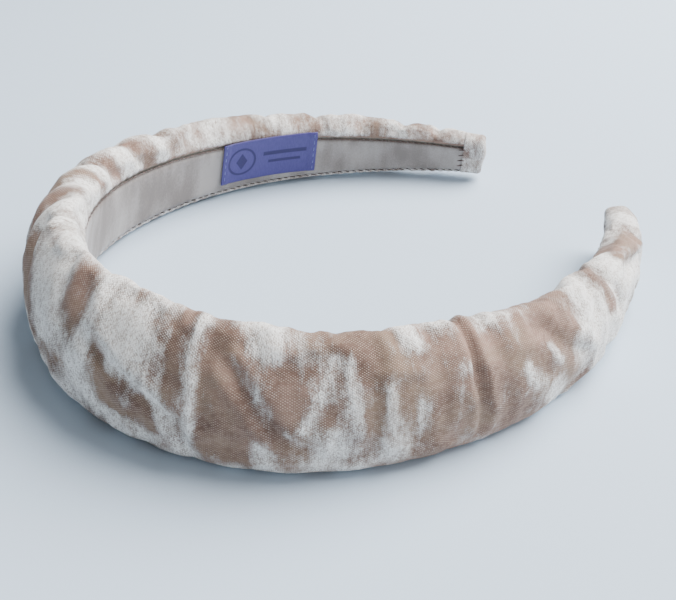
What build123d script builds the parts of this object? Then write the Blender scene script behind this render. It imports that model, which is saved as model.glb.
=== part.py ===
"""Padded velvet headband: a springy plastic hoop with a foam pad, covered in crushed velvet.

It lies on its side edge, as it is put down on a table: the crown is at -Y, the two tips at +Y,
the wearer's right arm at +X and the front edge of the band on top. Millimetres.
"""
from build123d import *
import os
from math import asin, cos, degrees, radians, sin

os.makedirs("parts", exist_ok=True)

# ---- driving dimensions -------------------------------------------------------------------
# Inner face seen from above: three tangent arcs a side, from the crown to the tip.
CROWN_RADIUS = 59.0
CROWN_TURN = 64.0
TEMPLE_RADIUS = 84.0
TEMPLE_TURN = 40.0
TIP_RADIUS = 125.0
TIP_TURN = 30.0

# The padded section: wide and thick at the crown, tapering to the tips.
CROWN_WIDTH = 33.0
TIP_WIDTH = 13.3
WIDTH_TAPER = 1.87
CROWN_THICKNESS = 13.5
TIP_THICKNESS = 8.9
THICKNESS_TAPER = 3.9
WIDEST_AT = 0.37        # widest point of the section, as a share of its thickness
FLAT_SHARE = 0.60       # flat middle of the inner face, as a share of the width
LEAN = 12.0             # the front edge leans inwards, so that the band sits like a cone

# How it stands: laid on its lower edge, the crown and both tips share the load.
REST_TILT = 2.5         # the tips sink by this angle until the arms touch the table
CROWN_Y = -68.80        # the crown's inner face, so that the box is centred on the origin
CROWN_Z = 15.218        # its mid-height, so that the lowest edge is at Z = 0
CROWN_GAP = 0.25        # the two halves meet at the crown with this much between them

# Cloth, foam and hoop. Insets are measured inwards from the velvet's outer face.
VELVET = 0.9            # velvet with its pile
LAYER_GAP = 0.05        # clearance between layers that lie on each other
LINING_INSET = 0.1      # the lining lies this much below the velvet
UPPER_SEAM = 0.52       # height of the sewn line, as a share of the half width
LOWER_SEAM = -0.80      # height of the hidden lower seam
SEAM_WIDTH = 0.5        # slit between velvet and lining, with the thread in it
THREAD_RADIUS = 0.22
THREAD_SIDES = 8
UPPER_THREAD_DEPTH = 0.20
LOWER_THREAD_DEPTH = 0.35
HOOP_THICKNESS = 1.8
HOOP_DEPTH = 1.1        # cloth between the inner face and the hoop
HOOP_SHARE = 0.68       # the hoop's width, as a share of the padded width
WINDOW_REACH = 1.5      # how far the cutting windows stand clear of the inner face

# Each tip is closed by a fold of velvet, tacked down on the inner face.
TIP_WRAP = 5.0
WRAP_GAP = 0.1
WRAP_ROUNDING = 2.2
WRAP_SHARES = [0.0, 0.35, 0.65, 0.85, 0.96, 1.0]
TACK_LENGTH = 2.4
TACK_SHARES = [-0.45, -0.15, 0.15, 0.45]

# The woven label on the left arm's inner face, across the upper seam.
LABEL_START = 97.0
LABEL_LENGTH = 34.0
LABEL_LOW = -6.4
LABEL_HIGH = 8.8
LABEL_THICKNESS = 0.4
LABEL_HEM = 1.0         # the end stitches stand this far in from the label's ends
LABEL_STITCHES = 6
STITCH_LENGTH = 1.5

STATIONS = 13

SIDES = {"left": -1, "right": 1}
CROWN_ARC = CROWN_RADIUS * radians(CROWN_TURN)
TEMPLE_ARC = TEMPLE_RADIUS * radians(TEMPLE_TURN)
TIP_ARC = TIP_RADIUS * radians(TIP_TURN)
ARM_LENGTH = CROWN_ARC + TEMPLE_ARC + TIP_ARC
END = ARM_LENGTH - TIP_WRAP     # the cover, the lining, the foam and the hoop end here


# ---- the hoop's line and section ----------------------------------------------------------
def heading(s):
    """Turn of the inner face, in degrees, at length s from the crown."""
    crown = min(s, CROWN_ARC) / CROWN_RADIUS
    temple = min(max(s - CROWN_ARC, 0), TEMPLE_ARC) / TEMPLE_RADIUS
    tip = max(s - CROWN_ARC - TEMPLE_ARC, 0) / TIP_RADIUS
    return degrees(crown + temple + tip)


def arc_step(radius, start, end):
    """Travel along an arc that turns from start to end, in degrees."""
    across = radius * (sin(radians(end)) - sin(radians(start)))
    along = radius * (cos(radians(start)) - cos(radians(end)))
    return Vector(across, along)


def inner_line(s):
    """Point of the inner face at length s from the crown, on the right arm."""
    end_crown = min(heading(s), CROWN_TURN)
    point = arc_step(CROWN_RADIUS, 0, end_crown)
    if s > CROWN_ARC:
        end_temple = min(heading(s), CROWN_TURN + TEMPLE_TURN)
        point += arc_step(TEMPLE_RADIUS, CROWN_TURN, end_temple)
    if s > CROWN_ARC + TEMPLE_ARC:
        point += arc_step(TIP_RADIUS, CROWN_TURN + TEMPLE_TURN, heading(s))
    return point


def half_width(s):
    share = min(s / ARM_LENGTH, 1)
    return (TIP_WIDTH + (CROWN_WIDTH - TIP_WIDTH) * (1 - share**WIDTH_TAPER)) / 2


def thickness(s):
    share = min(s / ARM_LENGTH, 1)
    return TIP_THICKNESS + (CROWN_THICKNESS - TIP_THICKNESS) * (1 - share**THICKNESS_TAPER)


def section_plane(s, side):
    """Plane across the band: local X points outwards, local Y up along the width."""
    turn = radians(heading(s))
    lean = radians(LEAN)
    flat = inner_line(s)
    origin = Vector(side * (flat.X + CROWN_GAP / 2), flat.Y, 0)
    outward = Vector(side * sin(turn) * cos(lean), -cos(turn) * cos(lean), sin(lean))
    along = Vector(side * cos(turn), sin(turn), 0)
    origin = origin.rotate(Axis.X, -REST_TILT) + Vector(0, CROWN_Y, CROWN_Z)
    outward = outward.rotate(Axis.X, -REST_TILT)
    along = along.rotate(Axis.X, -REST_TILT)
    return Plane(origin=origin, x_dir=outward, z_dir=along * -side)


def inner_depth(s, height):
    """Depth of the outer skin at a height on the inner face, from the flat middle."""
    corner = half_width(s) * (1 - FLAT_SHARE)
    past = max(abs(height) - half_width(s) * FLAT_SHARE, 0) / corner
    return thickness(s) * WIDEST_AT * (1 - (1 - min(past, 1) ** 2) ** 0.5)


def padded_section(s, side, inset):
    """D-shaped section, inset from the skin: flat inside, domed outside."""
    half = half_width(s) - inset
    flat = half_width(s) * FLAT_SHARE
    corner = half - flat
    widest = thickness(s) * WIDEST_AT
    inner = widest - inset
    outer = thickness(s) - widest - inset
    with BuildSketch(section_plane(s, side)) as section:
        with BuildLine():
            Line((inset, flat), (inset, -flat))
            EllipticalCenterArc((widest, -flat), inner, corner, start_angle=180, arc_size=90)
            EllipticalCenterArc((widest, 0), outer, half, start_angle=-90, arc_size=90)
            EllipticalCenterArc((widest, 0), outer, half, start_angle=0, arc_size=90)
            EllipticalCenterArc((widest, flat), inner, corner, start_angle=90, arc_size=90)
        make_face()
    return section.sketch


def stations(start, end, count=STATIONS):
    return [start + (end - start) * i / (count - 1) for i in range(count)]


def padded_sections(side, inset, start, end):
    return [padded_section(s, side, inset) for s in stations(start, end)]


def window_section(s, side, low, high):
    """Rectangle across the inner face between two heights, to cut or keep a strip of skin."""
    deep = thickness(s) * WIDEST_AT
    with BuildSketch(section_plane(s, side)) as section:
        with Locations(((deep - WINDOW_REACH) / 2, (low + high) / 2)):
            Rectangle(deep + WINDOW_REACH, high - low)
    return section.sketch


def seam_window(side, start, end, trim):
    """Sections of the lining's window between the two seams, narrowed by trim at each edge."""
    sections = []
    for s in stations(start, end):
        low = half_width(s) * LOWER_SEAM + trim
        high = half_width(s) * UPPER_SEAM - trim
        sections.append(window_section(s, side, low, high))
    return sections


def hoop_section(s, side):
    """Flat strip with round edges."""
    width = 2 * half_width(s) * HOOP_SHARE
    with BuildSketch(section_plane(s, side)) as section:
        with Locations((HOOP_DEPTH + HOOP_THICKNESS / 2, 0)):
            SlotOverall(width, HOOP_THICKNESS, rotation=90)
    return section.sketch


def hoop_pocket_section(s, side):
    """Pocket in the foam's inner face that the hoop is glued into."""
    width = 2 * (half_width(s) * HOOP_SHARE + LAYER_GAP)
    depth = HOOP_DEPTH + HOOP_THICKNESS + LAYER_GAP
    with BuildSketch(section_plane(s, side)) as section:
        with Locations(((depth - WINDOW_REACH) / 2, 0)):
            Rectangle(depth + WINDOW_REACH, width)
    return section.sketch


def thread_section(s, side, share, depth):
    height = half_width(s) * share
    with BuildSketch(section_plane(s, side)) as section:
        with Locations((inner_depth(s, height) + depth, height)):
            RegularPolygon(THREAD_RADIUS, THREAD_SIDES)
    return section.sketch


def seam_thread_sections(side, share, depth):
    return [thread_section(s, side, share, depth) for s in stations(0, END)]


def wrap_section(share, side):
    """Section of a tip's fold, which rounds off towards the end of the arm."""
    s = END + WRAP_GAP + (TIP_WRAP - WRAP_GAP) * share
    return padded_section(s, side, WRAP_ROUNDING * (1 - (1 - share**2) ** 0.5))


def stitch_places(s, side, heights, lift):
    """Places of stitches that lie along the arm on the inner face."""
    plane = section_plane(s, side)
    places = []
    for height in heights:
        centre = plane.from_local_coords(Vector(inner_depth(s, height) - lift, height))
        places.append(Location(centre, plane.location.orientation))
    return places


for name, side in SIDES.items():
    # ---- springy plastic hoop ----
    with BuildPart() as hoop:
        loft([hoop_section(s, side) for s in stations(0, END)])
    hoop.part.label = f"hoop_{name}"
    export_step(hoop.part, f"parts/hoop_{name}.step")

    # ---- foam pad, with the hoop's pocket ----
    with BuildPart() as foam:
        loft(padded_sections(side, VELVET + LAYER_GAP, 0, END))
        loft([hoop_pocket_section(s, side) for s in stations(0, END)], mode=Mode.SUBTRACT)
    foam.part.label = f"foam_pad_{name}"
    export_step(foam.part, f"parts/foam_pad_{name}.step")

    # ---- velvet cover, open between the two seams ----
    with BuildPart() as cover:
        loft(padded_sections(side, 0, 0, END))
        loft(padded_sections(side, VELVET, 0, END), mode=Mode.SUBTRACT)
        loft(seam_window(side, 0, END, -SEAM_WIDTH / 2), mode=Mode.SUBTRACT)
    cover.part.label = f"velvet_cover_{name}"
    export_step(cover.part, f"parts/velvet_cover_{name}.step")

    # ---- lining strip between the seams ----
    with BuildPart() as lining:
        loft(padded_sections(side, LINING_INSET, 0, END))
        loft(padded_sections(side, VELVET, 0, END), mode=Mode.SUBTRACT)
        loft(seam_window(side, 0, END, SEAM_WIDTH / 2), mode=Mode.INTERSECT)
    lining.part.label = f"lining_{name}"
    export_step(lining.part, f"parts/lining_{name}.step")

    # ---- seam threads in the slits at the lining's two edges ----
    with BuildPart() as upper_thread:
        loft(seam_thread_sections(side, UPPER_SEAM, UPPER_THREAD_DEPTH))
    upper_thread.part.label = f"upper_seam_thread_{name}"
    export_step(upper_thread.part, f"parts/upper_seam_thread_{name}.step")
    with BuildPart() as lower_thread:
        loft(seam_thread_sections(side, LOWER_SEAM, LOWER_THREAD_DEPTH))
    lower_thread.part.label = f"lower_seam_thread_{name}"
    export_step(lower_thread.part, f"parts/lower_seam_thread_{name}.step")

    # ---- folded velvet that closes the tip ----
    with BuildPart() as wrap:
        loft([wrap_section(share, side) for share in WRAP_SHARES])
    wrap.part.label = f"tip_wrap_{name}"
    export_step(wrap.part, f"parts/tip_wrap_{name}.step")

    # ---- tack stitches across the fold's edge ----
    tack_heights = [half_width(END) * share for share in TACK_SHARES]
    with BuildPart() as tacks:
        with Locations(*stitch_places(END, side, tack_heights, THREAD_RADIUS)):
            Cylinder(THREAD_RADIUS, TACK_LENGTH)
    tacks.part.label = f"tip_tacks_{name}"
    export_step(tacks.part, f"parts/tip_tacks_{name}.step")


# ---- woven label on the left arm, a patch of cloth that follows the inner face ----
LABEL_SIDE = SIDES["left"]
LABEL_END = LABEL_START + LABEL_LENGTH
label_window = []
for s in stations(LABEL_START, LABEL_END):
    label_window.append(window_section(s, LABEL_SIDE, LABEL_LOW, LABEL_HIGH))

with BuildPart() as label:
    loft(padded_sections(LABEL_SIDE, -LABEL_THICKNESS - LAYER_GAP, LABEL_START, LABEL_END))
    loft(padded_sections(LABEL_SIDE, -LAYER_GAP, LABEL_START, LABEL_END), mode=Mode.SUBTRACT)
    loft(label_window, mode=Mode.INTERSECT)
label.part.label = "label"
export_step(label.part, "parts/label.step")

# ---- stitches along the label's two short ends ----
label_heights = stations(LABEL_LOW + LABEL_HEM, LABEL_HIGH - LABEL_HEM, LABEL_STITCHES)
label_lift = LABEL_THICKNESS + LAYER_GAP + THREAD_RADIUS
with BuildPart() as label_stitches:
    for s in (LABEL_START + LABEL_HEM, LABEL_END - LABEL_HEM):
        with Locations(*stitch_places(s, LABEL_SIDE, label_heights, label_lift)):
            Cylinder(THREAD_RADIUS, STITCH_LENGTH, rotation=(90, 0, 0))
label_stitches.part.label = "label_stitches"
export_step(label_stitches.part, "parts/label_stitches.step")
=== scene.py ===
"""Padded headband in crushed velvet, lying on its side edge.

The velvet, the lining and the foam are cut as flat sheets and wrapped round the band's line.
Lengths are metres; s runs along the inner face from the crown, negative on the left arm.
"""
import random
from math import cos, exp, pi, radians, sin, sqrt

import bmesh
import bpy
import numpy as np
from mathutils import Matrix, Vector, noise


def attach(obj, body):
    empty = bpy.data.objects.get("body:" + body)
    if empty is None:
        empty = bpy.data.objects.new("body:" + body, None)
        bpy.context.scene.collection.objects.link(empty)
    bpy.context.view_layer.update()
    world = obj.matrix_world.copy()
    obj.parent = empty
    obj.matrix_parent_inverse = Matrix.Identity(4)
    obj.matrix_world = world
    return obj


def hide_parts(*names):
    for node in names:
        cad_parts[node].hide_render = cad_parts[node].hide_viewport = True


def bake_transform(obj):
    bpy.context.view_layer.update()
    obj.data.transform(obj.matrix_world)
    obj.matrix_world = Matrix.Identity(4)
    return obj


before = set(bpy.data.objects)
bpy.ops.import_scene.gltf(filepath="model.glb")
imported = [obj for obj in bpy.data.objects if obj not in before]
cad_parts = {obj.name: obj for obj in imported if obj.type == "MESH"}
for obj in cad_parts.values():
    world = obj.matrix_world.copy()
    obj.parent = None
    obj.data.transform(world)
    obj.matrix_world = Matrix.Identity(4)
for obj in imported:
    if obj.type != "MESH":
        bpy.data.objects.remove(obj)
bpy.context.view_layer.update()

MM = 0.001

# ---- the band's line, as in the frame -------------------------------------------------------
CROWN_RADIUS = 59 * MM
TEMPLE_RADIUS = 84 * MM
TIP_RADIUS = 125 * MM
CROWN_TURN = radians(64)
TEMPLE_TURN = radians(40)
TIP_TURN = radians(30)
CROWN_ARC = CROWN_RADIUS * CROWN_TURN
TEMPLE_ARC = TEMPLE_RADIUS * TEMPLE_TURN
ARM = CROWN_ARC + TEMPLE_ARC + TIP_RADIUS * TIP_TURN

CROWN_WIDTH = 33.0 * MM
TIP_WIDTH = 13.3 * MM
WIDTH_TAPER = 1.87
CROWN_THICKNESS = 13.5 * MM
TIP_THICKNESS = 8.9 * MM
THICKNESS_TAPER = 3.9
WIDEST_AT = 0.37
FLAT_SHARE = 0.60
LEAN = radians(12)
REST_TILT = radians(2.5)
CROWN_Y = -68.80 * MM
CROWN_Z = 15.218 * MM

UPPER_SEAM = 0.52
LOWER_SEAM = -0.80
TIP_WRAP = 5.0 * MM
END = ARM - TIP_WRAP


def line_point(s):
    """Inner face from above at length s, and its heading, on the flat hoop plane."""
    along = abs(s)
    crown = min(along, CROWN_ARC) / CROWN_RADIUS
    temple = min(max(along - CROWN_ARC, 0), TEMPLE_ARC) / TEMPLE_RADIUS
    tip = max(along - CROWN_ARC - TEMPLE_ARC, 0) / TIP_RADIUS
    x = CROWN_RADIUS * sin(crown)
    y = CROWN_RADIUS * (1 - cos(crown))
    turn = crown
    for radius, step in ((TEMPLE_RADIUS, temple), (TIP_RADIUS, tip)):
        x += radius * (sin(turn + step) - sin(turn))
        y += radius * (cos(turn) - cos(turn + step))
        turn += step
    side = -1 if s < 0 else 1
    return side * x, y, side * turn


def half_width(s):
    share = min(abs(s) / ARM, 1)
    return (TIP_WIDTH + (CROWN_WIDTH - TIP_WIDTH) * (1 - share**WIDTH_TAPER)) / 2


def thickness(s):
    share = min(abs(s) / ARM, 1)
    return TIP_THICKNESS + (CROWN_THICKNESS - TIP_THICKNESS) * (1 - share**THICKNESS_TAPER)


def place(s, depth, height):
    """Point at length s, that far outwards from the inner face and that high on the band."""
    x, y, turn = line_point(s)
    out = depth * cos(LEAN) - height * sin(LEAN)
    up = height * cos(LEAN) + depth * sin(LEAN)
    flat = Vector((x + sin(turn) * out, y - cos(turn) * out, up))
    tilted = Matrix.Rotation(-REST_TILT, 3, "X") @ flat
    return tilted + Vector((0, CROWN_Y, CROWN_Z))


def outline(s, inset=0.0):
    """Closed D-shaped section, from the middle of the inner face up and round, as an array."""
    half = half_width(s) - inset
    flat = half_width(s) * FLAT_SHARE
    corner = half - flat
    widest = thickness(s) * WIDEST_AT
    inner = widest - inset
    outer = thickness(s) - widest - inset
    points = [(inset, 0.0), (inset, flat)]
    for angle in np.linspace(0, pi / 2, 14)[1:]:
        points.append((widest - inner * cos(angle), flat + corner * sin(angle)))
    for angle in np.linspace(0, pi, 40)[1:]:
        points.append((widest + outer * sin(angle), half * cos(angle)))
    for angle in np.linspace(0, pi / 2, 14)[1:]:
        points.append((widest - inner * cos(pi / 2 - angle), -flat - corner * sin(pi / 2 - angle)))
    points.append((inset, 0.0))
    return np.array(points)


class Girth:
    """The section's outline at one place, measured by the distance along it."""

    def __init__(self, s, inset=0.0):
        self.points = outline(s, inset)
        steps = np.hypot(*np.diff(self.points, axis=0).T)
        self.run = np.concatenate([[0], np.cumsum(steps)])
        self.length = self.run[-1]
        self.upper_seam = half_width(s) * UPPER_SEAM
        low = half_width(s) * LOWER_SEAM
        last = self.points[-15:]
        self.lower_seam = float(np.interp(low, last[:, 1], self.run[-15:]))

    def at(self, distance):
        depth = np.interp(distance, self.run, self.points[:, 0])
        height = np.interp(distance, self.run, self.points[:, 1])
        return float(depth), float(height)

    def outward(self, distance):
        """Unit normal of the outline, as (depth, height)."""
        step = 0.4 * MM
        a = Vector(self.at(max(distance - step, 0)))
        b = Vector(self.at(min(distance + step, self.length)))
        along = (b - a).normalized()
        return Vector((along.y * -1, along.x))


# ---- shader sums as Python expressions --------------------------------------------------------
class Socket:
    def __init__(self, shader, socket):
        self.shader = shader
        self.socket = socket

    def sum(self, operation, *others):
        inputs = dict(enumerate((self, *others)))
        return self.shader.node("Math", {"operation": operation}, inputs)

    def __add__(self, other):
        return self.sum("ADD", other)

    def __mul__(self, other):
        return self.sum("MULTIPLY", other)

    def __sub__(self, other):
        return self.sum("SUBTRACT", other)

    def __rsub__(self, other):
        return self.shader.node("Math", {"operation": "SUBTRACT"}, {0: other, 1: self})

    __radd__ = __add__
    __rmul__ = __mul__


class Shader:
    """One material: its node method makes every node, and a few short helpers use it."""

    def __init__(self, name):
        self.material = bpy.data.materials.new(name)
        self.material.use_nodes = True
        self.tree = self.material.node_tree
        self.tree.nodes.clear()

    def node(self, kind, settings=None, inputs=None, output=0):
        node = self.tree.nodes.new("ShaderNode" + kind)
        for name, value in (settings or {}).items():
            setattr(node, name, value)
        for name, value in (inputs or {}).items():
            if isinstance(value, Socket):
                self.tree.links.new(value.socket, node.inputs[name])
            else:
                node.inputs[name].default_value = value
        return Socket(self, node.outputs[output]) if node.outputs else node

    def cloth(self):
        """The flat cloth's own coordinates in metres, along and across the band."""
        return self.node("UVMap", {"uv_map": "cloth"})

    def stretched(self, vector, scale, turn=0.0):
        return self.node("Mapping", None, {"Vector": vector, "Scale": scale, "Rotation": (0, 0, turn)})

    def split(self, vector):
        node = self.node("SeparateXYZ", None, {0: vector})
        outputs = node.socket.node.outputs
        return Socket(self, outputs[0]), Socket(self, outputs[1])

    def noise(self, vector, scale, detail=3.0, roughness=0.55, distortion=0.0):
        inputs = {"Vector": vector, "Scale": scale, "Detail": detail, "Roughness": roughness}
        inputs["Distortion"] = distortion
        return self.node("TexNoise", None, inputs, "Fac")

    def step(self, value, low, high):
        """0 below low, 1 above high, smooth between."""
        inputs = {"Value": value, "From Min": low, "From Max": high}
        return self.node("MapRange", {"interpolation_type": "SMOOTHSTEP"}, inputs)

    def mix(self, factor, first, second):
        settings = {"data_type": "RGBA"}
        return self.node("Mix", settings, {0: factor, 6: first, 7: second}, 2)

    def bump(self, height, distance, strength=1.0):
        return self.node("Bump", None, {"Height": height, "Distance": distance, "Strength": strength})

    def attribute(self, name):
        return self.node("Attribute", {"attribute_name": name}, None, "Fac")

    def finish(self, **inputs):
        named = {name.replace("_", " "): value for name, value in inputs.items()}
        surface = self.node("BsdfPrincipled", None, named)
        self.node("OutputMaterial", None, {"Surface": surface})
        return self.material


def color(red, green, blue):
    """Colour from 0-255 screen values to the renderer's linear ones."""
    linear = [((c / 255 + 0.055) / 1.055) ** 2.4 for c in (red, green, blue)]
    return (*linear, 1)


# ---- finishes ---------------------------------------------------------------------------------
TAUPE = color(150, 120, 106)
TAUPE_OLIVE = color(140, 117, 99)
TAUPE_DEEP = color(110, 86, 75)
LOOP_LIGHT = color(212, 186, 168)
PALE = color(250, 247, 242)
PALE_SHADE = color(192, 180, 170)
WALE = 0.36 * MM
COURSE = 0.27 * MM


def knit_loops(shader, cloth):
    """Knitted loops that show where the pile is crushed flat: staggered dots, from 0 to 1."""
    drift = shader.noise(cloth, 140, 3) * 5.0
    along, across = shader.split(cloth)
    wales = (along * (pi / WALE) + drift).sum("SINE")
    courses = (across * (pi / COURSE) + drift).sum("SINE")
    worn = shader.noise(cloth, 900, 2)
    return (wales * courses).sum("MAXIMUM", 0.0) * shader.step(worn, 0.3, 0.6)


def pile_tufts(shader, cloth):
    """Standing pile: short strokes of fibre across the band, that turn from place to place."""
    one_way = shader.noise(shader.stretched(cloth, (1, 0.42, 1), 0.4), 3600, 2, 0.6)
    other_way = shader.noise(shader.stretched(cloth, (1, 0.42, 1), -0.3), 3600, 2, 0.6)
    turned = shader.step(shader.noise(cloth, 110, 1), 0.42, 0.58)
    clumps = shader.noise(shader.stretched(cloth, (1, 0.5, 1), 0.2), 800, 3, 0.6)
    return (one_way * turned + other_way * (1 - turned)) * 0.65 + clumps * 0.35


def velvet_finish():
    shader = Shader("crushed_velvet")
    cloth = shader.cloth()
    nap = shader.attribute("nap")
    tufts = pile_tufts(shader, cloth)
    loops = knit_loops(shader, cloth)
    ragged = shader.noise(shader.stretched(cloth, (1, 0.55, 1), 0.15), 230, 5, 0.62, 0.5)
    wisps = shader.noise(shader.stretched(cloth, (1, 0.16, 1), 0.1), 620, 3, 0.6, 0.3)
    lie = nap + (ragged - 0.5) * 2.6 + (wisps - 0.5) * 1.5 + (tufts - 0.5) * 1.3 + (loops - 0.25) * 0.4
    pale = shader.step(lie, -0.85, 0.75)
    cloudy = shader.noise(cloth, 85, 4, 0.62)
    tinted = shader.mix(shader.step(shader.noise(cloth, 48, 3, 0.6), 0.4, 0.62), TAUPE, TAUPE_OLIVE)
    flat_color = shader.mix(shader.step(cloudy, 0.34, 0.64), TAUPE_DEEP, tinted)
    flat_color = shader.mix(loops * 0.75, flat_color, LOOP_LIGHT)
    raised_color = shader.mix(shader.step(tufts + loops * 0.10, 0.40, 0.57), PALE_SHADE, PALE)
    base = shader.mix(pale * 0.96, flat_color, raised_color)
    height = loops * (1 - pale) * 0.4 + tufts * (pale * 0.9 + 0.25) + pale * 0.6
    return shader.finish(
        Base_Color=base,
        Roughness=0.84 - pale * 0.14,
        Normal=shader.bump(height, 0.4 * MM, 0.7),
        Sheen_Weight=0.2,
        Sheen_Roughness=0.35,
        Sheen_Tint=(0.98, 0.96, 0.94, 1),
        Specular_IOR_Level=0.2,
    )


def lining_finish():
    shader = Shader("smooth_velvet_lining")
    cloth = shader.cloth()
    nap = shader.attribute("nap")
    soft = shader.noise(shader.stretched(cloth, (1, 0.25, 1)), 130, 4, 0.55)
    fine = shader.noise(shader.stretched(cloth, (1, 0.4, 1), 0.1), 2200, 2, 0.6)
    tone = shader.step(nap * 0.25 + soft + (fine - 0.5) * 0.35, 0.25, 0.75)
    base = shader.mix(tone, color(128, 118, 112), color(166, 157, 151))
    return shader.finish(
        Base_Color=base,
        Roughness=0.78 - tone * 0.1,
        Normal=shader.bump(fine, 0.10 * MM, 0.5),
        Sheen_Weight=0.3,
        Sheen_Roughness=0.35,
        Specular_IOR_Level=0.3,
    )


def thread_finish(name, light, dark):
    """Twisted sewing thread, with its ply as fine slanted stripes."""
    shader = Shader(name)
    place_in = shader.node("TexCoord", None, None, "Object")
    strands = shader.noise(shader.stretched(place_in, (1, 1, 0.3)), 3500, 2)
    base = shader.mix(shader.step(strands, 0.35, 0.65), dark, light)
    return shader.finish(
        Base_Color=base,
        Roughness=0.62,
        Normal=shader.bump(strands, 0.08 * MM, 0.7),
        Sheen_Weight=0.2,
        Sheen_Roughness=0.4,
    )


LABEL_BLUE = color(58, 48, 112)
LABEL_LIGHT = color(76, 64, 132)
LABEL_DARK = color(28, 16, 72)
LABEL_LENGTH = 34.0 * MM
LABEL_HEIGHT = 15.2 * MM


def band_mask(shader, value, low, high, soft):
    """1 between low and high, with soft edges."""
    return shader.step(value, low - soft, low + soft) * (1 - shader.step(value, high - soft, high + soft))


def label_finish():
    """Satin-woven label: a plain lozenge inside a ring, beside two plain bars."""
    shader = Shader("woven_satin_label")
    cloth = shader.cloth()
    along, across = shader.split(cloth)
    soft = 0.12 * MM
    along = LABEL_LENGTH - along
    from_left = along - 7.2 * MM
    from_middle = across - LABEL_HEIGHT / 2
    spread = (from_left * from_left + from_middle * from_middle).sum("SQRT")
    ring = band_mask(shader, spread, 4.4 * MM, 5.2 * MM, soft)
    lozenge = from_left.sum("ABSOLUTE") * 1.5 + from_middle.sum("ABSOLUTE")
    lozenge = 1 - shader.step(lozenge, 3.0 * MM, 3.3 * MM)
    bars = band_mask(shader, across, 8.4 * MM, 9.9 * MM, soft) * band_mask(
        shader, along, 15 * MM, 30.5 * MM, soft)
    bars = bars + band_mask(shader, across, 5.4 * MM, 6.5 * MM, soft) * band_mask(
        shader, along, 17 * MM, 28.5 * MM, soft)
    motif = (ring + lozenge + bars).sum("MINIMUM", 1.0)
    warp = (along * (2 * pi / (0.32 * MM))).sum("SINE")
    weft = (across * (2 * pi / (0.42 * MM))).sum("SINE")
    weave = warp * weft * 0.5 + 0.5
    flecks = shader.noise(shader.stretched(cloth, (1, 0.25, 1)), 2400, 2)
    ground = shader.mix(weave * 0.35 + shader.step(flecks, 0.35, 0.65) * 0.35, LABEL_BLUE, LABEL_LIGHT)
    base = shader.mix(motif * 0.85, ground, LABEL_DARK)
    height = weave * 0.5 + motif * 0.6
    return shader.finish(
        Base_Color=base,
        Roughness=0.46 + motif * 0.14,
        Normal=shader.bump(height, 0.06 * MM, 0.7),
        Sheen_Weight=0.15,
        Sheen_Roughness=0.3,
    )


def foam_finish():
    shader = Shader("open_cell_foam")
    place_in = shader.node("TexCoord", None, None, "Object")
    cells = shader.node("TexVoronoi", None, {"Vector": place_in, "Scale": 1500}, "Distance")
    base = shader.mix(shader.step(cells, 0.2, 0.6), color(214, 206, 184), color(240, 235, 220))
    return shader.finish(Base_Color=base, Roughness=0.9, Normal=shader.bump(cells, 0.2 * MM, 0.8))


def hoop_finish():
    shader = Shader("hoop_plastic")
    place_in = shader.node("TexCoord", None, None, "Object")
    grain = shader.noise(place_in, 900, 2)
    base = shader.mix(grain, color(222, 218, 208), color(234, 231, 223))
    return shader.finish(
        Base_Color=base,
        Roughness=0.42 + grain * 0.1,
        Normal=shader.bump(grain, 0.03 * MM, 0.5),
    )


# ---- folds and the lie of the nap -------------------------------------------------------------
# A crease is (s, share of the girth) at each end in mm, its depth and its width in mm.
CREASES = [
    (90.5, 0.06, 94.5, 0.74, 1.0, 0.9),
    (97.0, 0.14, 99.5, 0.60, 0.4, 1.8),
    (-16.0, 0.28, -8.0, 0.66, 1.1, 2.6),
    (-26.0, 0.20, -20.0, 0.46, 0.9, 1.8),
    (-37.0, 0.12, -30.0, 0.38, 1.0, 2.2),
    (-50.0, 0.06, -43.0, 0.34, 1.0, 2.4),
    (-64.0, 0.04, -60.0, 0.34, 0.7, 2.0),
    (-78.0, 0.02, -74.0, 0.30, 0.6, 2.2),
    (4.0, 0.22, 9.0, 0.46, 0.6, 1.8),
    (18.0, 0.44, 38.0, 0.62, 0.7, 1.8),
    (38.0, 0.62, 42.0, 0.80, 0.5, 1.6),
    (43.5, 0.18, 43.0, 0.62, 0.4, 1.5),
    (47.0, 0.35, 57.5, 0.64, 0.8, 1.3),
    (66.0, 0.30, 60.0, 0.66, 0.4, 1.5),
    (72.0, 0.40, 72.5, 0.70, 0.4, 1.4),
    (84.0, 0.18, 86.0, 0.58, 0.4, 1.6),
    (108.0, 0.30, 122.0, 0.56, 0.8, 2.0),
    (134.0, 0.14, 127.0, 0.46, 0.6, 1.8),
    (138.0, 0.10, 142.0, 0.50, 0.7, 2.0),
    (150.0, 0.36, 170.0, 0.50, 0.6, 2.4),
    (172.0, 0.10, 176.0, 0.60, 0.6, 1.6),
    (-143.0, 0.00, -150.0, 0.26, 0.9, 2.0),
    (-158.0, 0.00, -163.0, 0.30, 0.7, 1.8),
    (-172.0, 0.02, -176.0, 0.50, 0.7, 1.6),
    (-120.0, 0.08, -112.0, 0.34, 0.5, 2.0),
    (-134.0, 0.02, -131.0, 0.30, 0.6, 1.8),
]
# A puff is (s, share, half length, half height in share, height in mm).
PUFFS = [
    (-24.0, 0.42, 16.0, 0.22, 1.2),
    (-46.0, 0.34, 12.0, 0.24, 1.1),
    (-66.0, 0.34, 12.0, 0.22, 0.9),
    (12.0, 0.55, 18.0, 0.25, 0.7),
    (70.0, 0.50, 20.0, 0.30, 0.5),
    (104.0, 0.45, 9.0, 0.30, 0.6),
    (-150.0, 0.25, 12.0, 0.20, 0.6),
]
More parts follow.
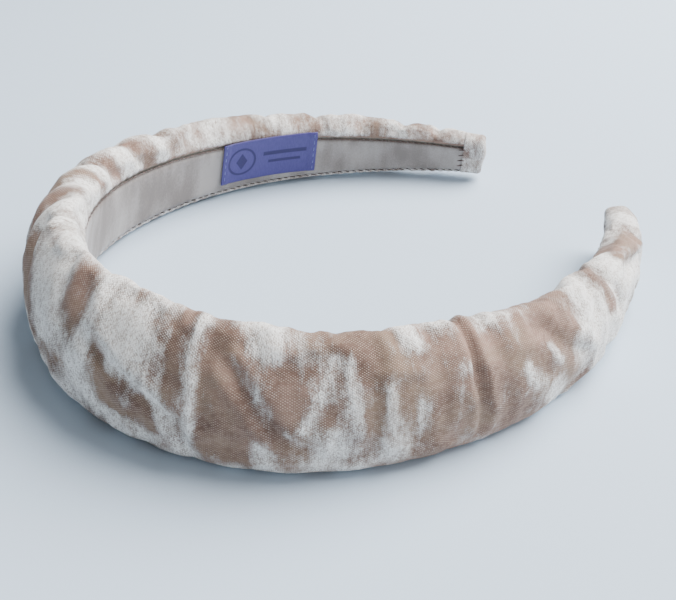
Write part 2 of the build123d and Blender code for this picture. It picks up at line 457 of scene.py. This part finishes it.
# A stroke of the nap is (s, share) at each end, its half width in mm and its lie:
# 1 stands up pale, -1 is crushed flat and dark. Some dark strokes along folds also carry painted shade.
STROKES = [
    (-20, 0.30, -8, 0.62, 6.2, -1.5), (-12, 0.46, -2, 0.64, 6.0, -1.6), (12, 0.27, 11, 0.42, 5.6, -1),
    # (23, 0.47 to 25, 0.66) and (29, 0.57 to 34, 0.70): dark nap that also paints the shade of the fold
    # along the crease at s 18 to 38
    (3, 0.54, 8, 0.64, 4.0, -0.5), (23, 0.47, 25, 0.66, 5.6, -1.2), (29, 0.57, 34, 0.70, 6.2, -1.2),
    (27, 0.19, 31, 0.27, 5.0, -0.8), (36, 0.16, 38, 0.46, 4.4, -0.9), (46, 0.28, 50, 0.80, 6.0, -1.1),
    (57, 0.34, 57, 0.62, 5.0, -1), (61, 0.12, 72, 0.26, 5.5, -0.9), (73, 0.28, 76, 0.64, 5.5, -0.9),
    (84, 0.28, 86, 0.80, 4.5, -1), (95, 0.22, 98, 0.48, 5.5, -0.9), (98, 0.50, 102, 0.74, 6.5, -0.9),
    (113, 0.16, 117, 0.44, 9.5, -1), (104, 0.30, 112, 0.62, 7.5, -0.9),
    (106, 0.14, 104, 0.24, 4.0, -0.6), (138, 0.12, 136, 0.46, 3.2, -0.9),
    (156, 0.22, 170, 0.36, 8.0, -1), (46, 0.62, 47, 0.80, 3.6, -1.2), (64.6, 0.50, 65.2, 0.57, 1.3, -1),
    (-4, 0.66, 2, 0.80, 5.0, -0.4), (120, 0.50, 124, 0.60, 4.0, -0.5), (18, 0.14, 18, 0.72, 1.9, 0.7),
    (25, 0.31, 27, 0.44, 6.0, 0.9), (28, 0.43, 34, 0.57, 2.4, 0.7), (41, 0.14, 41, 0.80, 1.4, 0.4),
    (51, 0.13, 54, 0.27, 4.2, 0.9), (48, 0.33, 58, 0.61, 1.2, -0.35), (65.5, 0.31, 60, 0.58, 1.3, 0.4),
    (67.5, 0.32, 69.5, 0.60, 1.1, 0.3), (65.5, 0.60, 64.5, 0.84, 2.6, 0.4),
    (75, 0.43, 76, 0.65, 1.4, 0.3), (76, 0.66, 77, 0.86, 3.4, 0.4), (81, 0.50, 81, 0.64, 1.1, -0.2),
    (79, 0.12, 81, 0.25, 3.4, 0.7), (87, 0.12, 88, 0.17, 4.0, 0.5), (96, 0.12, 99, 0.19, 4.0, 0.4),
    (20, 0.73, 34, 0.80, 3.6, 0.6), (36, 0.60, 39, 0.80, 2.2, 0.5), (53, 0.68, 56, 0.84, 2.4, 0.4),
    (24, 0.10, 30, 0.17, 5.0, 0.7), (104, 0.47, 107, 0.57, 1.6, 0.3), (111, 0.42, 113, 0.52, 1.6, 0.2),
    # (90.6, 0.10 to 94.4, 0.72): painted shade, a dark line laid along the deep crease at s 90.5 to 94.5
    (112, 0.66, 116, 0.78, 4.0, 0.5), (90.6, 0.10, 94.4, 0.72, 0.8, -1.4),
    (128, 0.14, 126, 0.42, 5.2, 1), (127, 0.50, 137, 0.62, 5.5, 1), (132, 0.60, 140, 0.72, 8.0, 0.9),
    (147, 0.20, 144, 0.34, 3.4, 0.9), (150, 0.46, 172, 0.52, 6.0, 0.7),
    (182, 0.14, 186, 0.66, 6.0, 0.9), (-3, 0.14, 3, 0.48, 5.2, 1.1), (-18, 0.72, 4, 0.78, 2.6, 0.8),
    (-24, 0.10, -18, 0.30, 4.0, 0.9), (3, 0.42, 6, 0.50, 5.0, 0.8), (-34, 0.12, -30, 0.30, 2.4, 0.8),
    (-29, 0.16, -24, 0.38, 1.6, -0.7), (-41, 0.10, -35, 0.34, 1.6, -0.7),
    (-46, 0.08, -42, 0.30, 2.6, 0.8), (-53, 0.06, -46, 0.28, 1.6, -0.6),
    (-59, 0.04, -55, 0.30, 3.0, 0.7), (-67, 0.04, -62, 0.26, 2.4, -0.7),
    (-74, 0.03, -71, 0.28, 2.6, 0.5), (-84, 0.02, -80, 0.20, 3.4, -0.3),
    (-96, 0.02, -92, 0.24, 5.0, 0.3), (-108, 0.04, -104, 0.24, 3.0, -0.5),
    (-120, 0.06, -117, 0.24, 4.0, 0.4), (-131, 0.05, -128, 0.26, 2.2, -0.4),
    (-142, 0.04, -139, 0.28, 3.0, 0.3), (-150, 0.00, -154, 0.26, 2.2, -0.6),
    (-161, 0.03, -159, 0.28, 3.4, 0.3), (-170, 0.00, -167, 0.28, 2.6, -0.5),
    (-180, 0.02, -178, 0.30, 3.4, 0.1),
]
HIDDEN_STROKES = 150
SEED = 11


def hidden_strokes():
    """Strokes for the stretches that the list leaves out: the left arm's outside and the lower side."""
    dice = random.Random(SEED)
    strokes = []
    while len(strokes) < HIDDEN_STROKES:
        s = dice.uniform(-186, 186)
        top = dice.uniform(0.0, 0.92)
        if s > -34 and top < 0.80 or top < 0.30:
            continue
        lie = dice.choice((-1, 1))
        bottom = top + dice.uniform(0.10, 0.34)
        strokes.append((s, top, s + dice.uniform(-7, 7), bottom, dice.uniform(1.8, 5.5), lie))
    return strokes


def far_from_segment(s, across, stroke):
    """How far a point lies from a stroke's line, and how far along it, both in its own units."""
    s0, v0, s1, v1 = stroke[:4]
    girth = 52.0
    dx, dy = s1 - s0, (v1 - v0) * girth
    px, py = s - s0, (across - v0) * girth
    share = (px * dx + py * dy) / (dx * dx + dy * dy)
    held = min(max(share, 0), 1)
    return sqrt((px - held * dx) ** 2 + (py - held * dy) ** 2), share


class Cloth:
    """Relief and nap of the cover, looked up by s in mm and share of the girth."""

    def __init__(self):
        self.strokes = STROKES + hidden_strokes()
        self.near = {}

    def strokes_near(self, s):
        key = round(s / 10)
        if key not in self.near:
            reach = 24
            self.near[key] = [
                stroke for stroke in self.strokes
                if min(stroke[0], stroke[2]) - reach < key * 10 < max(stroke[0], stroke[2]) + reach
            ]
        return self.near[key]

    def nap(self, s, across):
        crushed = exp(-(((s - 80) / 48) ** 4))
        far_arm = exp(-(((s + 120) / 70) ** 4)) * (across < 0.30)
        ground = 0.38 - 0.73 * crushed - 0.45 * far_arm
        wander = noise.noise(Vector((s * 0.09, across * 5, 3.1)))
        total = ground + wander * 0.8
        for stroke in self.strokes_near(s):
            away = far_from_segment(s, across, stroke)[0]
            width = stroke[4] * (1 + 0.6 * noise.noise(Vector((s * 0.25, across * 14, 7.7))))
            pull = exp(-((away / max(width, 0.5)) ** 2) * 1.1)
            total = total * (1 - pull) + stroke[5] * 1.05 * pull
        return total

    def relief(self, s, across):
        """Height of the cloth over the smooth pad, in mm."""
        height = 0.0
        for s0, v0, s1, v1, depth, width in CREASES:
            if min(s0, s1) - 12 > s or max(s0, s1) + 12 < s:
                continue
            away, share = far_from_segment(s, across, (s0, v0, s1, v1))
            bend = noise.noise(Vector((s * 0.2, across * 9, s0))) * 0.8
            away = abs(away + bend)
            fade = exp(-max(abs(share - 0.5) - 0.45, 0) ** 2 * 60)
            height -= depth * exp(-((away / width) ** 2)) * fade
            height += 0.45 * depth * exp(-(((away - 2.2 * width) / (1.2 * width)) ** 2)) * fade
        for s0, v0, length, tall, lift in PUFFS:
            far = ((s - s0) / length) ** 2 + ((across - v0) / tall) ** 2
            if far < 6:
                height += lift * exp(-far)
        ripple = noise.noise(Vector((s * 0.16, across * 3.0, 1.7)))
        small = noise.noise(Vector((s * 0.42, across * 7.0, 5.3)))
        tiny = noise.noise(Vector((s * 1.1, across * 16.0, 9.1)))
        underneath = min(max((across - 0.60) / 0.2, 0), 1)
        return (height + ripple * 0.36 + small * 0.24) * (1 - 0.6 * underneath) + tiny * 0.12


# ---- mesh helpers -----------------------------------------------------------------------------
def flat_sheet(columns, rows, length, width):
    """Flat cloth with its own coordinates in metres, as a bmesh from 0 to 1 each way."""
    mesh = bmesh.new()
    bmesh.ops.create_grid(mesh, x_segments=columns, y_segments=rows, size=0.5)
    bmesh.ops.translate(mesh, verts=mesh.verts, vec=(0.5, 0.5, 0))
    layer = mesh.loops.layers.uv.new("cloth")
    for face in mesh.faces:
        for loop in face.loops:
            loop[layer].uv = (loop.vert.co.x * length, loop.vert.co.y * width)
    return mesh


def add_piece(name, mesh, finish, smooth=True):
    data = bpy.data.meshes.new(name)
    for face in mesh.faces:
        face.smooth = smooth
    mesh.to_mesh(data)
    mesh.free()
    piece = bpy.data.objects.new(name, data)
    bpy.context.scene.collection.objects.link(piece)
    data.materials.append(finish)
    return piece


def bend_with_hoop(piece):
    """The piece runs over the crown; its placement is baked into its mesh."""
    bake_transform(piece)


def face_outwards(mesh):
    """Faces of a closed shell turn outwards. Those of the cover's and the lining's open sheets
    turn to the pad, so their wall is given offset 1 and grows inwards.
    """
    bmesh.ops.recalc_face_normals(mesh, faces=mesh.faces)


def give_wall(piece, thickness, offset):
    wall = piece.modifiers.new("cloth thickness", "SOLIDIFY")
    wall.thickness = thickness
    wall.offset = offset


def closed_tube(columns, rows, ring_at):
    """Tube of rings round the band's line, closed at both ends."""
    mesh = flat_sheet(columns, rows, 2 * END, 60 * MM)
    for vert in mesh.verts:
        s = (vert.co.x * 2 - 1) * (END - 0.6 * MM)
        depth, height = ring_at(s, vert.co.y)
        vert.co = place(s, depth, height)
    bmesh.ops.remove_doubles(mesh, verts=mesh.verts, dist=0.01 * MM)
    bmesh.ops.holes_fill(mesh, edges=[edge for edge in mesh.edges if edge.is_boundary])
    face_outwards(mesh)
    return mesh


PAD_INSET = 2.2 * MM
PAD_INNER_FACE = 3.4 * MM


def pad_ring(s, share):
    """The foam's section, inside the cover and clear of the hoop."""
    girth = Girth(s, PAD_INSET)
    depth, height = girth.at(share * girth.length)
    return max(depth, PAD_INNER_FACE), height


# ---- velvet cover -----------------------------------------------------------------------------
COVER_COLUMNS = 430
COVER_ROWS = 88
VELVET_WALL = 0.72 * MM
SEAM_SLIT = 0.32 * MM
SEAM_ROLL = 1.5 * MM
# how strongly the nap colour is darkened beside the upper seam: painted shade of the seam's groove
SEAM_PAINTED_SHADE = 2.0
PILE = 0.14 * MM
RESTING = 0.05 * MM
LABEL_REACH = 17 * MM

# the settling of the velvet: cut this share too large, moved at most this far
SIM_COLUMNS = 215
SIM_ROWS = 44
SIM_FRAMES = 20
SIM_SCALE = 10
SLACK = 0.035
BENDING = 0.5
PRESSURE = 1.5
MOST_MOVE = 0.85 * MM
CLOTH = Cloth()


def roll_under(distance):
    """Depth by which a cloth's edge turns into the seam, at that distance from the edge."""
    if distance >= SEAM_ROLL:
        return 0.0
    share = 1 - distance / SEAM_ROLL
    return 0.75 * MM * (1 - sqrt(max(1 - share * share, 0)))


LABEL_FIRST = -131 * MM
LABEL_LOW = -6.4 * MM
LABEL_SKEW = 0.8 * MM


def under_label(s):
    """1 where the label holds the cloth flat, 0 away from it."""
    past = abs(s - LABEL_FIRST - LABEL_LENGTH / 2) - LABEL_LENGTH / 2
    return min(max(1 - past / (3 * MM), 0), 1)


def pucker(s, distance):
    """Small tucks that the seam's stitches pull into the cloth beside them."""
    fade = exp(-((distance / (3.2 * MM)) ** 2))
    tuck = sin(s / MM * 2 * pi / 3.1 + 2.4 * noise.noise(Vector((s * 90, 0, 0))))
    return 0.16 * MM * tuck * fade * (1 - under_label(s))


def wrapped_cover(columns, rows, shape):
    """The cover wrapped round the band. shape gives each point's lift, lie of the nap and movement."""
    mesh = flat_sheet(columns, rows, 2 * END, 54 * MM)
    nap = mesh.verts.layers.float.new("nap")
    girths = [Girth((i / columns * 2 - 1) * END) for i in range(columns + 1)]
    order = []
    for vert in mesh.verts:
        column = round(vert.co.x * columns)
        row = round(vert.co.y * rows)
        order.append((column, row))
        s = (column / columns * 2 - 1) * END
        girth = girths[column]
        first = girth.upper_seam + SEAM_SLIT
        last = girth.lower_seam - SEAM_SLIT
        share = vert.co.y
        distance = first + (last - first) * share
        edge = min(distance - first, last - distance)
        lift, vert[nap], move = shape(s, share, distance, edge, column, row)
        depth, height = girth.at(distance)
        out = girth.outward(distance)
        smooth = place(s, depth, height)
        vert.co = place(s, depth + out.x * lift, height + out.y * lift) + Vector(move)
        if vert.co.z < RESTING:
            kept = max(smooth.z - RESTING, 0) / max(smooth.z - vert.co.z, 0.001 * MM)
            vert.co = smooth.lerp(vert.co, kept)
    face_outwards(mesh)
    return mesh, order


def freedom(s, distance, edge):
    """How free the cover is to fold: not at the seams, nor under the label's edge."""
    below_label = under_label(s) * min(max((LABEL_REACH - distance) / (4 * MM), 0), 1)
    return min(edge / (5 * MM), 1) * (1 - below_label)


def enlarged(name, mesh):
    """A helper for the simulation, ten times life size, which keeps the cloth solver steady."""
    bmesh.ops.scale(mesh, vec=(SIM_SCALE,) * 3, verts=mesh.verts)
    data = bpy.data.meshes.new(name)
    mesh.to_mesh(data)
    mesh.free()
    helper = bpy.data.objects.new(name, data)
    bpy.context.scene.collection.objects.link(helper)
    return helper


def positions(data):
    flat = np.empty(len(data.vertices) * 3)
    data.vertices.foreach_get("co", flat)
    return flat.reshape(-1, 3)


def settled_velvet():
    """How far slack velvet, sewn down along both seams, moves as it settles over the foam."""
    moves = np.zeros((SIM_COLUMNS + 1, SIM_ROWS + 1, 3))

    def smooth_start(s, share, distance, edge, column, row):
        return CLOTH.relief(s / MM, share) * MM * freedom(s, distance, edge), 0.0, (0, 0, 0)

    mesh, order = wrapped_cover(SIM_COLUMNS, SIM_ROWS, smooth_start)
    velvet = enlarged("settling_velvet", mesh)
    pad = enlarged("pad_under_velvet", closed_tube(150, 36, pad_ring))
    pad.modifiers.new("pad", "COLLISION")
    pad.collision.thickness_outer = 0.002
    pad.collision.cloth_friction = 20

    sewn = velvet.vertex_groups.new(name="sewn")
    for index, (column, row) in enumerate(order):
        to_edge = min(row, SIM_ROWS - row, column, SIM_COLUMNS - column)
        sewn.add([index], 1.0 if to_edge < 2 else 0.0, "REPLACE")
    cloth = velvet.modifiers.new("settle", "CLOTH")
    cloth.settings.quality = 6
    cloth.settings.mass = 0.2
    cloth.settings.tension_stiffness = 20
    cloth.settings.compression_stiffness = 20
    cloth.settings.shear_stiffness = 8
    cloth.settings.bending_stiffness = BENDING
    cloth.settings.air_damping = 2
    cloth.settings.vertex_group_mass = "sewn"
    cloth.settings.shrink_min = -SLACK
    cloth.settings.use_pressure = True
    cloth.settings.uniform_pressure_force = PRESSURE
    cloth.settings.effector_weights.gravity = 0
    cloth.collision_settings.distance_min = 0.004
    cloth.point_cache.frame_start = 1
    cloth.point_cache.frame_end = SIM_FRAMES
    before = positions(velvet.data)
    scene = bpy.context.scene
    for frame_number in range(1, SIM_FRAMES + 1):
        scene.frame_set(frame_number)
    settled = velvet.evaluated_get(bpy.context.evaluated_depsgraph_get())
    found = (positions(settled.data) - before) / SIM_SCALE
    far = np.linalg.norm(found, axis=1, keepdims=True)
    found *= MOST_MOVE / np.maximum(far, MOST_MOVE)
    for index, (column, row) in enumerate(order):
        moves[column, row] = found[index]
    bpy.data.objects.remove(velvet)
    bpy.data.objects.remove(pad)
    scene.frame_set(1)
    return moves


def spread_over(moves, columns, rows):
    """The movement at every point of a finer grid, smoothed once each way."""
    for axis, count in ((0, columns + 1), (1, rows + 1)):
        old = np.linspace(0, 1, moves.shape[axis])
        new = np.linspace(0, 1, count)
        moves = np.apply_along_axis(lambda line: np.interp(new, old, line), axis, moves)
    moves[1:-1] = (moves[:-2] + 2 * moves[1:-1] + moves[2:]) / 4
    moves[:, 1:-1] = (moves[:, :-2] + 2 * moves[:, 1:-1] + moves[:, 2:]) / 4
    return moves


def make_cover(finish):
    moves = spread_over(settled_velvet(), COVER_COLUMNS, COVER_ROWS)

    def crushed(s, share, distance, edge, column, row):
        free = freedom(s, distance, edge)
        lie = CLOTH.nap(s / MM, share)
        lie += (0.2 - lie) * max(1 - (1 - share) / 0.07, 0)
        # painted shade: the nap is darkened along the upper seam's edge, where the groove lies in shade
        lie -= SEAM_PAINTED_SHADE * exp(-((edge / (0.9 * MM)) ** 2)) * (share < 0.5)
        lift = CLOTH.relief(s / MM, share) * MM * free + PILE * min(max(lie, -1), 1)
        lift += pucker(s, edge) - roll_under(edge)
        return lift, lie, moves[column, row] * free

    mesh = wrapped_cover(COVER_COLUMNS, COVER_ROWS, crushed)[0]
    piece = add_piece("velvet_cover", mesh, finish)
    give_wall(piece, VELVET_WALL, 1)
    return piece


# ---- lining -----------------------------------------------------------------------------------
LINING_COLUMNS = 360
LINING_ROWS = 26
LINING = 0.7 * MM


def lining_relief(s, across):
    """Soft shallow waves across the strip, in mm."""
    wave = noise.noise(Vector((s * 0.10, across * 1.2, 21.0)))
    small = noise.noise(Vector((s * 0.32, across * 3.0, 27.0)))
    return wave * 0.30 + small * 0.14


def make_lining(finish):
    mesh = flat_sheet(LINING_COLUMNS, LINING_ROWS, 2 * END, 22 * MM)
    nap = mesh.verts.layers.float.new("nap")
    columns = {}
    for vert in mesh.verts:
        columns.setdefault(round(vert.co.x * LINING_COLUMNS), []).append(vert)
    for verts in columns.values():
        s = (verts[0].co.x * 2 - 1) * END
        girth = Girth(s)
        top = girth.upper_seam - SEAM_SLIT
        bottom = girth.lower_seam - girth.length + SEAM_SLIT
        for vert in verts:
            share = vert.co.y
            distance = top + (bottom - top) * share
            depth, height = girth.at(distance if distance > 0 else girth.length + distance)
            out = girth.outward(distance if distance > 0 else girth.length + distance)
            edge = min(top - distance, distance - bottom)
            lift = lining_relief(s / MM, share) * MM * min(edge / (3 * MM), 1) * (1 - under_label(s))
            lift += pucker(s, edge) - roll_under(edge) - 0.1 * MM
            vert[nap] = noise.noise(Vector((s / MM * 0.08, share * 1.2, 33.0))) * 1.4
            vert.co = place(s, depth + out.x * lift, height + out.y * lift)
    face_outwards(mesh)
    piece = add_piece("lining", mesh, finish)
    give_wall(piece, LINING, 1)
    return piece


# ---- foam pad and hoop ------------------------------------------------------------------------
def make_foam(finish):
    return add_piece("foam_pad", closed_tube(150, 36, pad_ring), finish)


HOOP_SHARE = 0.68
HOOP_MIDDLE = 2.45 * MM
HOOP_THICKNESS = 1.5 * MM


def make_hoop(finish):
    def ring(s, share):
        turn = share * 2 * pi
        wide = half_width(s) * HOOP_SHARE
        squared = 0.35
        across = abs(sin(turn)) ** squared * (1 if sin(turn) >= 0 else -1)
        through = abs(cos(turn)) ** squared * (1 if cos(turn) >= 0 else -1)
        return HOOP_MIDDLE + through * HOOP_THICKNESS / 2, across * wide

    return add_piece("hoop", closed_tube(150, 24, ring), finish)


# ---- stitches ---------------------------------------------------------------------------------
def add_stitch(mesh, start, end, radius):
    """One stitch: a rounded bead of thread drawn out between two points."""
    along = end - start
    turn = along.to_track_quat("Z", "Y").to_matrix().to_4x4()
    place_at = Matrix.Translation((start + end) / 2) @ turn
    scale = Matrix.Diagonal((radius, radius, along.length / 2 + radius * 0.6, 1))
    bmesh.ops.create_uvsphere(mesh, u_segments=8, v_segments=6, radius=1.0, matrix=place_at @ scale)


def seam_stitches(name, share, depth, pitch, length, finish):
    """Row of slanted slip stitches along a seam."""
    mesh = bmesh.new()
    count = int(2 * (END - 2 * MM) / pitch)
    for i in range(count):
        s = -END + 2 * MM + pitch * (i + 0.5)
        low = half_width(s) * share
        girth = Girth(s)
        distance = girth.upper_seam if share > 0 else girth.lower_seam
        inner = girth.at(distance)[0] + depth
        slant = 0.22 * MM
        start = place(s - length / 2, inner, low - slant)
        end = place(s + length / 2, inner, low + slant)
        add_stitch(mesh, start, end, 0.2 * MM)
    piece = add_piece(name, mesh, finish)
    bend_with_hoop(piece)
    return piece


# ---- tip wraps --------------------------------------------------------------------------------
TIP_WALL = 0.5 * MM
TIP_CUFF = 2.2 * MM
FOLD_STARTS = 0.72
TIP_FLARE = 0.07


def make_tip(side, finish):
    """Velvet folded over the arm's end, flared a little, with its end tucked flat."""
    rows = 64
    columns = 22
    mesh = flat_sheet(columns, rows, 9 * MM, 34 * MM)
    nap = mesh.verts.layers.float.new("nap")
    for vert in mesh.verts:
        run = vert.co.x
        share = vert.co.y
        wall = min(run / FOLD_STARTS, 1)
        s = END - TIP_CUFF + (TIP_CUFF + TIP_WRAP) * wall
        close = max(run - FOLD_STARTS, 0) / (1 - FOLD_STARTS)
        girth = Girth(min(s, ARM))
        distance = (share * girth.length) % girth.length
        depth, height = girth.at(distance)
        middle = Vector((thickness(ARM) * 0.48, 0))
        flare = 1 + TIP_FLARE * wall**3 - 0.035 * (wall < 0.02)
        rounding = 1 - 0.10 * max(wall - 0.85, 0) / 0.15
        gather = 1 + 0.03 * sin(share * 2 * pi * 7 + side) * wall
        spoke = Vector((depth, height)) - middle
        spoke = spoke * flare * rounding * gather * (1.03 - 0.97 * close**0.9)
        fold = 0.5 * MM * sin(share * 4 * pi + 0.6) * close * (1 - close) * 4
        point = middle + spoke
        beyond = s + fold + 0.5 * MM * (1 - (2 * close - 1) ** 2) * (close > 0) - 0.9 * MM * close**2
        vert[nap] = 0.5 * noise.noise(Vector((run * 3, share * 9, 40.0 + side))) + 0.1
        vert.co = place(side * beyond, point.x, point.y)
    bmesh.ops.remove_doubles(mesh, verts=mesh.verts, dist=0.02 * MM)
    rim = [edge for edge in mesh.edges if edge.is_boundary]
    small = [edge for edge in rim if edge.calc_length() < 0.3 * MM]
    bmesh.ops.holes_fill(mesh, edges=small)
    face_outwards(mesh)
    name = "tip_wrap_left" if side < 0 else "tip_wrap_right"
    piece = add_piece(name, mesh, finish)
    give_wall(piece, TIP_WALL, -1)
    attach(piece, "left_half" if side < 0 else "right_half")
    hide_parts(name)
    return piece


def make_tip_tacks(side, finish):
    mesh = bmesh.new()
    for share in (-0.45, -0.15, 0.15, 0.45):
        height = half_width(END) * share
        start = place(side * (END - 3.6 * MM), 0.10 * MM, height - 0.3 * MM)
        end = place(side * (END - 1.4 * MM), -0.12 * MM, height + 0.3 * MM)
        add_stitch(mesh, start, end, 0.2 * MM)
    name = "tip_tacks_left" if side < 0 else "tip_tacks_right"
    piece = add_piece(name, mesh, finish)
    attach(piece, "left_half" if side < 0 else "right_half")
    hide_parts(name)
    return piece


# ---- label ------------------------------------------------------------------------------------
LABEL_LIFT = 0.45 * MM
LABEL_WALL = 0.28 * MM
LABEL_HEM = 0.22 * MM


def make_label(finish):
    mesh = flat_sheet(68, 30, LABEL_LENGTH, LABEL_HEIGHT)
    for vert in mesh.verts:
        s = LABEL_FIRST + vert.co.x * LABEL_LENGTH
        height = LABEL_LOW + vert.co.y * LABEL_HEIGHT + LABEL_SKEW * (0.5 - vert.co.x)
        girth = Girth(s)
        depth = girth.at(height if height > 0 else girth.length + height)[0]
        ends = min(vert.co.x, 1 - vert.co.x) * LABEL_LENGTH
        hem = LABEL_HEM * (1 - min(max((ends - 2.2 * MM) / (0.5 * MM), 0), 1))
        bow = 0.12 * MM * noise.noise(Vector((vert.co.x * 4, vert.co.y * 2, 50)))
        vert.co = place(s, depth - LABEL_LIFT - hem - abs(bow), height)
    face_outwards(mesh)
    piece = add_piece("woven_label", mesh, finish)
    give_wall(piece, LABEL_WALL, 0)
    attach(piece, "left_half")
    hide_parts("label")
    return piece


def make_label_stitches(finish):
    mesh = bmesh.new()
    for s in (LABEL_FIRST + 1.0 * MM, LABEL_FIRST + LABEL_LENGTH - 1.0 * MM):
        for i in range(6):
            height = LABEL_LOW + 1.2 * MM + i * 2.5 * MM
            girth = Girth(s)
            depth = girth.at(height if height > 0 else girth.length + height)[0] - LABEL_LIFT - 0.42 * MM
            add_stitch(mesh, place(s, depth, height), place(s, depth, height + 1.3 * MM), 0.14 * MM)
    piece = add_piece("label_thread", mesh, finish)
    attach(piece, "left_half")
    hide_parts("label_stitches")
    return piece


# ---- stage, light and camera ------------------------------------------------------------------
def make_stage():
    mesh = bmesh.new()
    bmesh.ops.create_grid(mesh, x_segments=1, y_segments=1, size=2.5)
    data = bpy.data.meshes.new("floor")
    mesh.to_mesh(data)
    mesh.free()
    floor = bpy.data.objects.new("floor", data)
    bpy.context.scene.collection.objects.link(floor)
    shader = Shader("pale_floor")
    data.materials.append(shader.finish(Base_Color=color(196, 212, 228), Roughness=0.9))


def soft_light(name, at, size, power, tint):
    lamp = bpy.data.lights.new(name, "AREA")
    lamp.shape = "DISK"
    lamp.size = size
    lamp.energy = power
    lamp.color = tint
    light = bpy.data.objects.new(name, lamp)
    light.location = at
    aim = Vector((0, 0, 0)) - Vector(at)
    light.rotation_euler = aim.to_track_quat("-Z", "Y").to_euler()
    bpy.context.scene.collection.objects.link(light)


def make_lights():
    world = bpy.data.worlds.new("soft sky")
    world.use_nodes = True
    sky = world.node_tree.nodes["Background"]
    sky.inputs["Color"].default_value = (0.90, 0.95, 1.0, 1)
    sky.inputs["Strength"].default_value = 0.30
    bpy.context.scene.world = world
    soft_light("window", (0.05, 0.75, 0.95), 1.2, 58.0, (0.97, 0.985, 1.0))
    soft_light("fill", (0.80, 0.45, 0.35), 0.8, 3.5, (0.98, 0.99, 1.0))


CAMERA_AT = (162.4 * MM, -106.1 * MM, 124.4 * MM)
CAMERA_HEADING = radians(-56.70)
CAMERA_DOWN = radians(34.04)
CAMERA_ROLL = radians(1.16)
CAMERA_LENS = 42.74


def make_camera():
    data = bpy.data.cameras.new("camera")
    data.lens = CAMERA_LENS
    data.sensor_width = 36
    data.clip_start = 0.01
    camera = bpy.data.objects.new("camera", data)
    look = Matrix.Rotation(-CAMERA_HEADING, 4, "Z") @ Matrix.Rotation(pi / 2 - CAMERA_DOWN, 4, "X")
    camera.matrix_world = Matrix.Translation(CAMERA_AT) @ look @ Matrix.Rotation(CAMERA_ROLL, 4, "Z")
    bpy.context.scene.collection.objects.link(camera)
    bpy.context.scene.camera = camera


# ---- the headband -----------------------------------------------------------------------------
make_camera()
make_stage()
make_lights()

velvet = velvet_finish()
seam_thread = thread_finish("seam_thread", color(104, 80, 70), color(66, 48, 42))
label_thread = thread_finish("label_thread", color(120, 124, 186), color(78, 80, 140))

cover = make_cover(velvet)
bend_with_hoop(cover)
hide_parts("velvet_cover_left", "velvet_cover_right")

lining = make_lining(lining_finish())
bend_with_hoop(lining)
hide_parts("lining_left", "lining_right")

foam = make_foam(foam_finish())
bend_with_hoop(foam)
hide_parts("foam_pad_left", "foam_pad_right")

hoop = make_hoop(hoop_finish())
bend_with_hoop(hoop)
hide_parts("hoop_left", "hoop_right")

upper = seam_stitches("upper_seam_stitches", UPPER_SEAM, 0.18 * MM, 2.2 * MM, 1.8 * MM, seam_thread)
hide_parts("upper_seam_thread_left", "upper_seam_thread_right")
lower = seam_stitches("lower_seam_stitches", LOWER_SEAM, 0.62 * MM, 2.4 * MM, 1.7 * MM, seam_thread)
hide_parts("lower_seam_thread_left", "lower_seam_thread_right")

for side in (-1, 1):
    make_tip(side, velvet)
    make_tip_tacks(side, seam_thread)

make_label(label_finish())
make_label_stitches(label_thread)
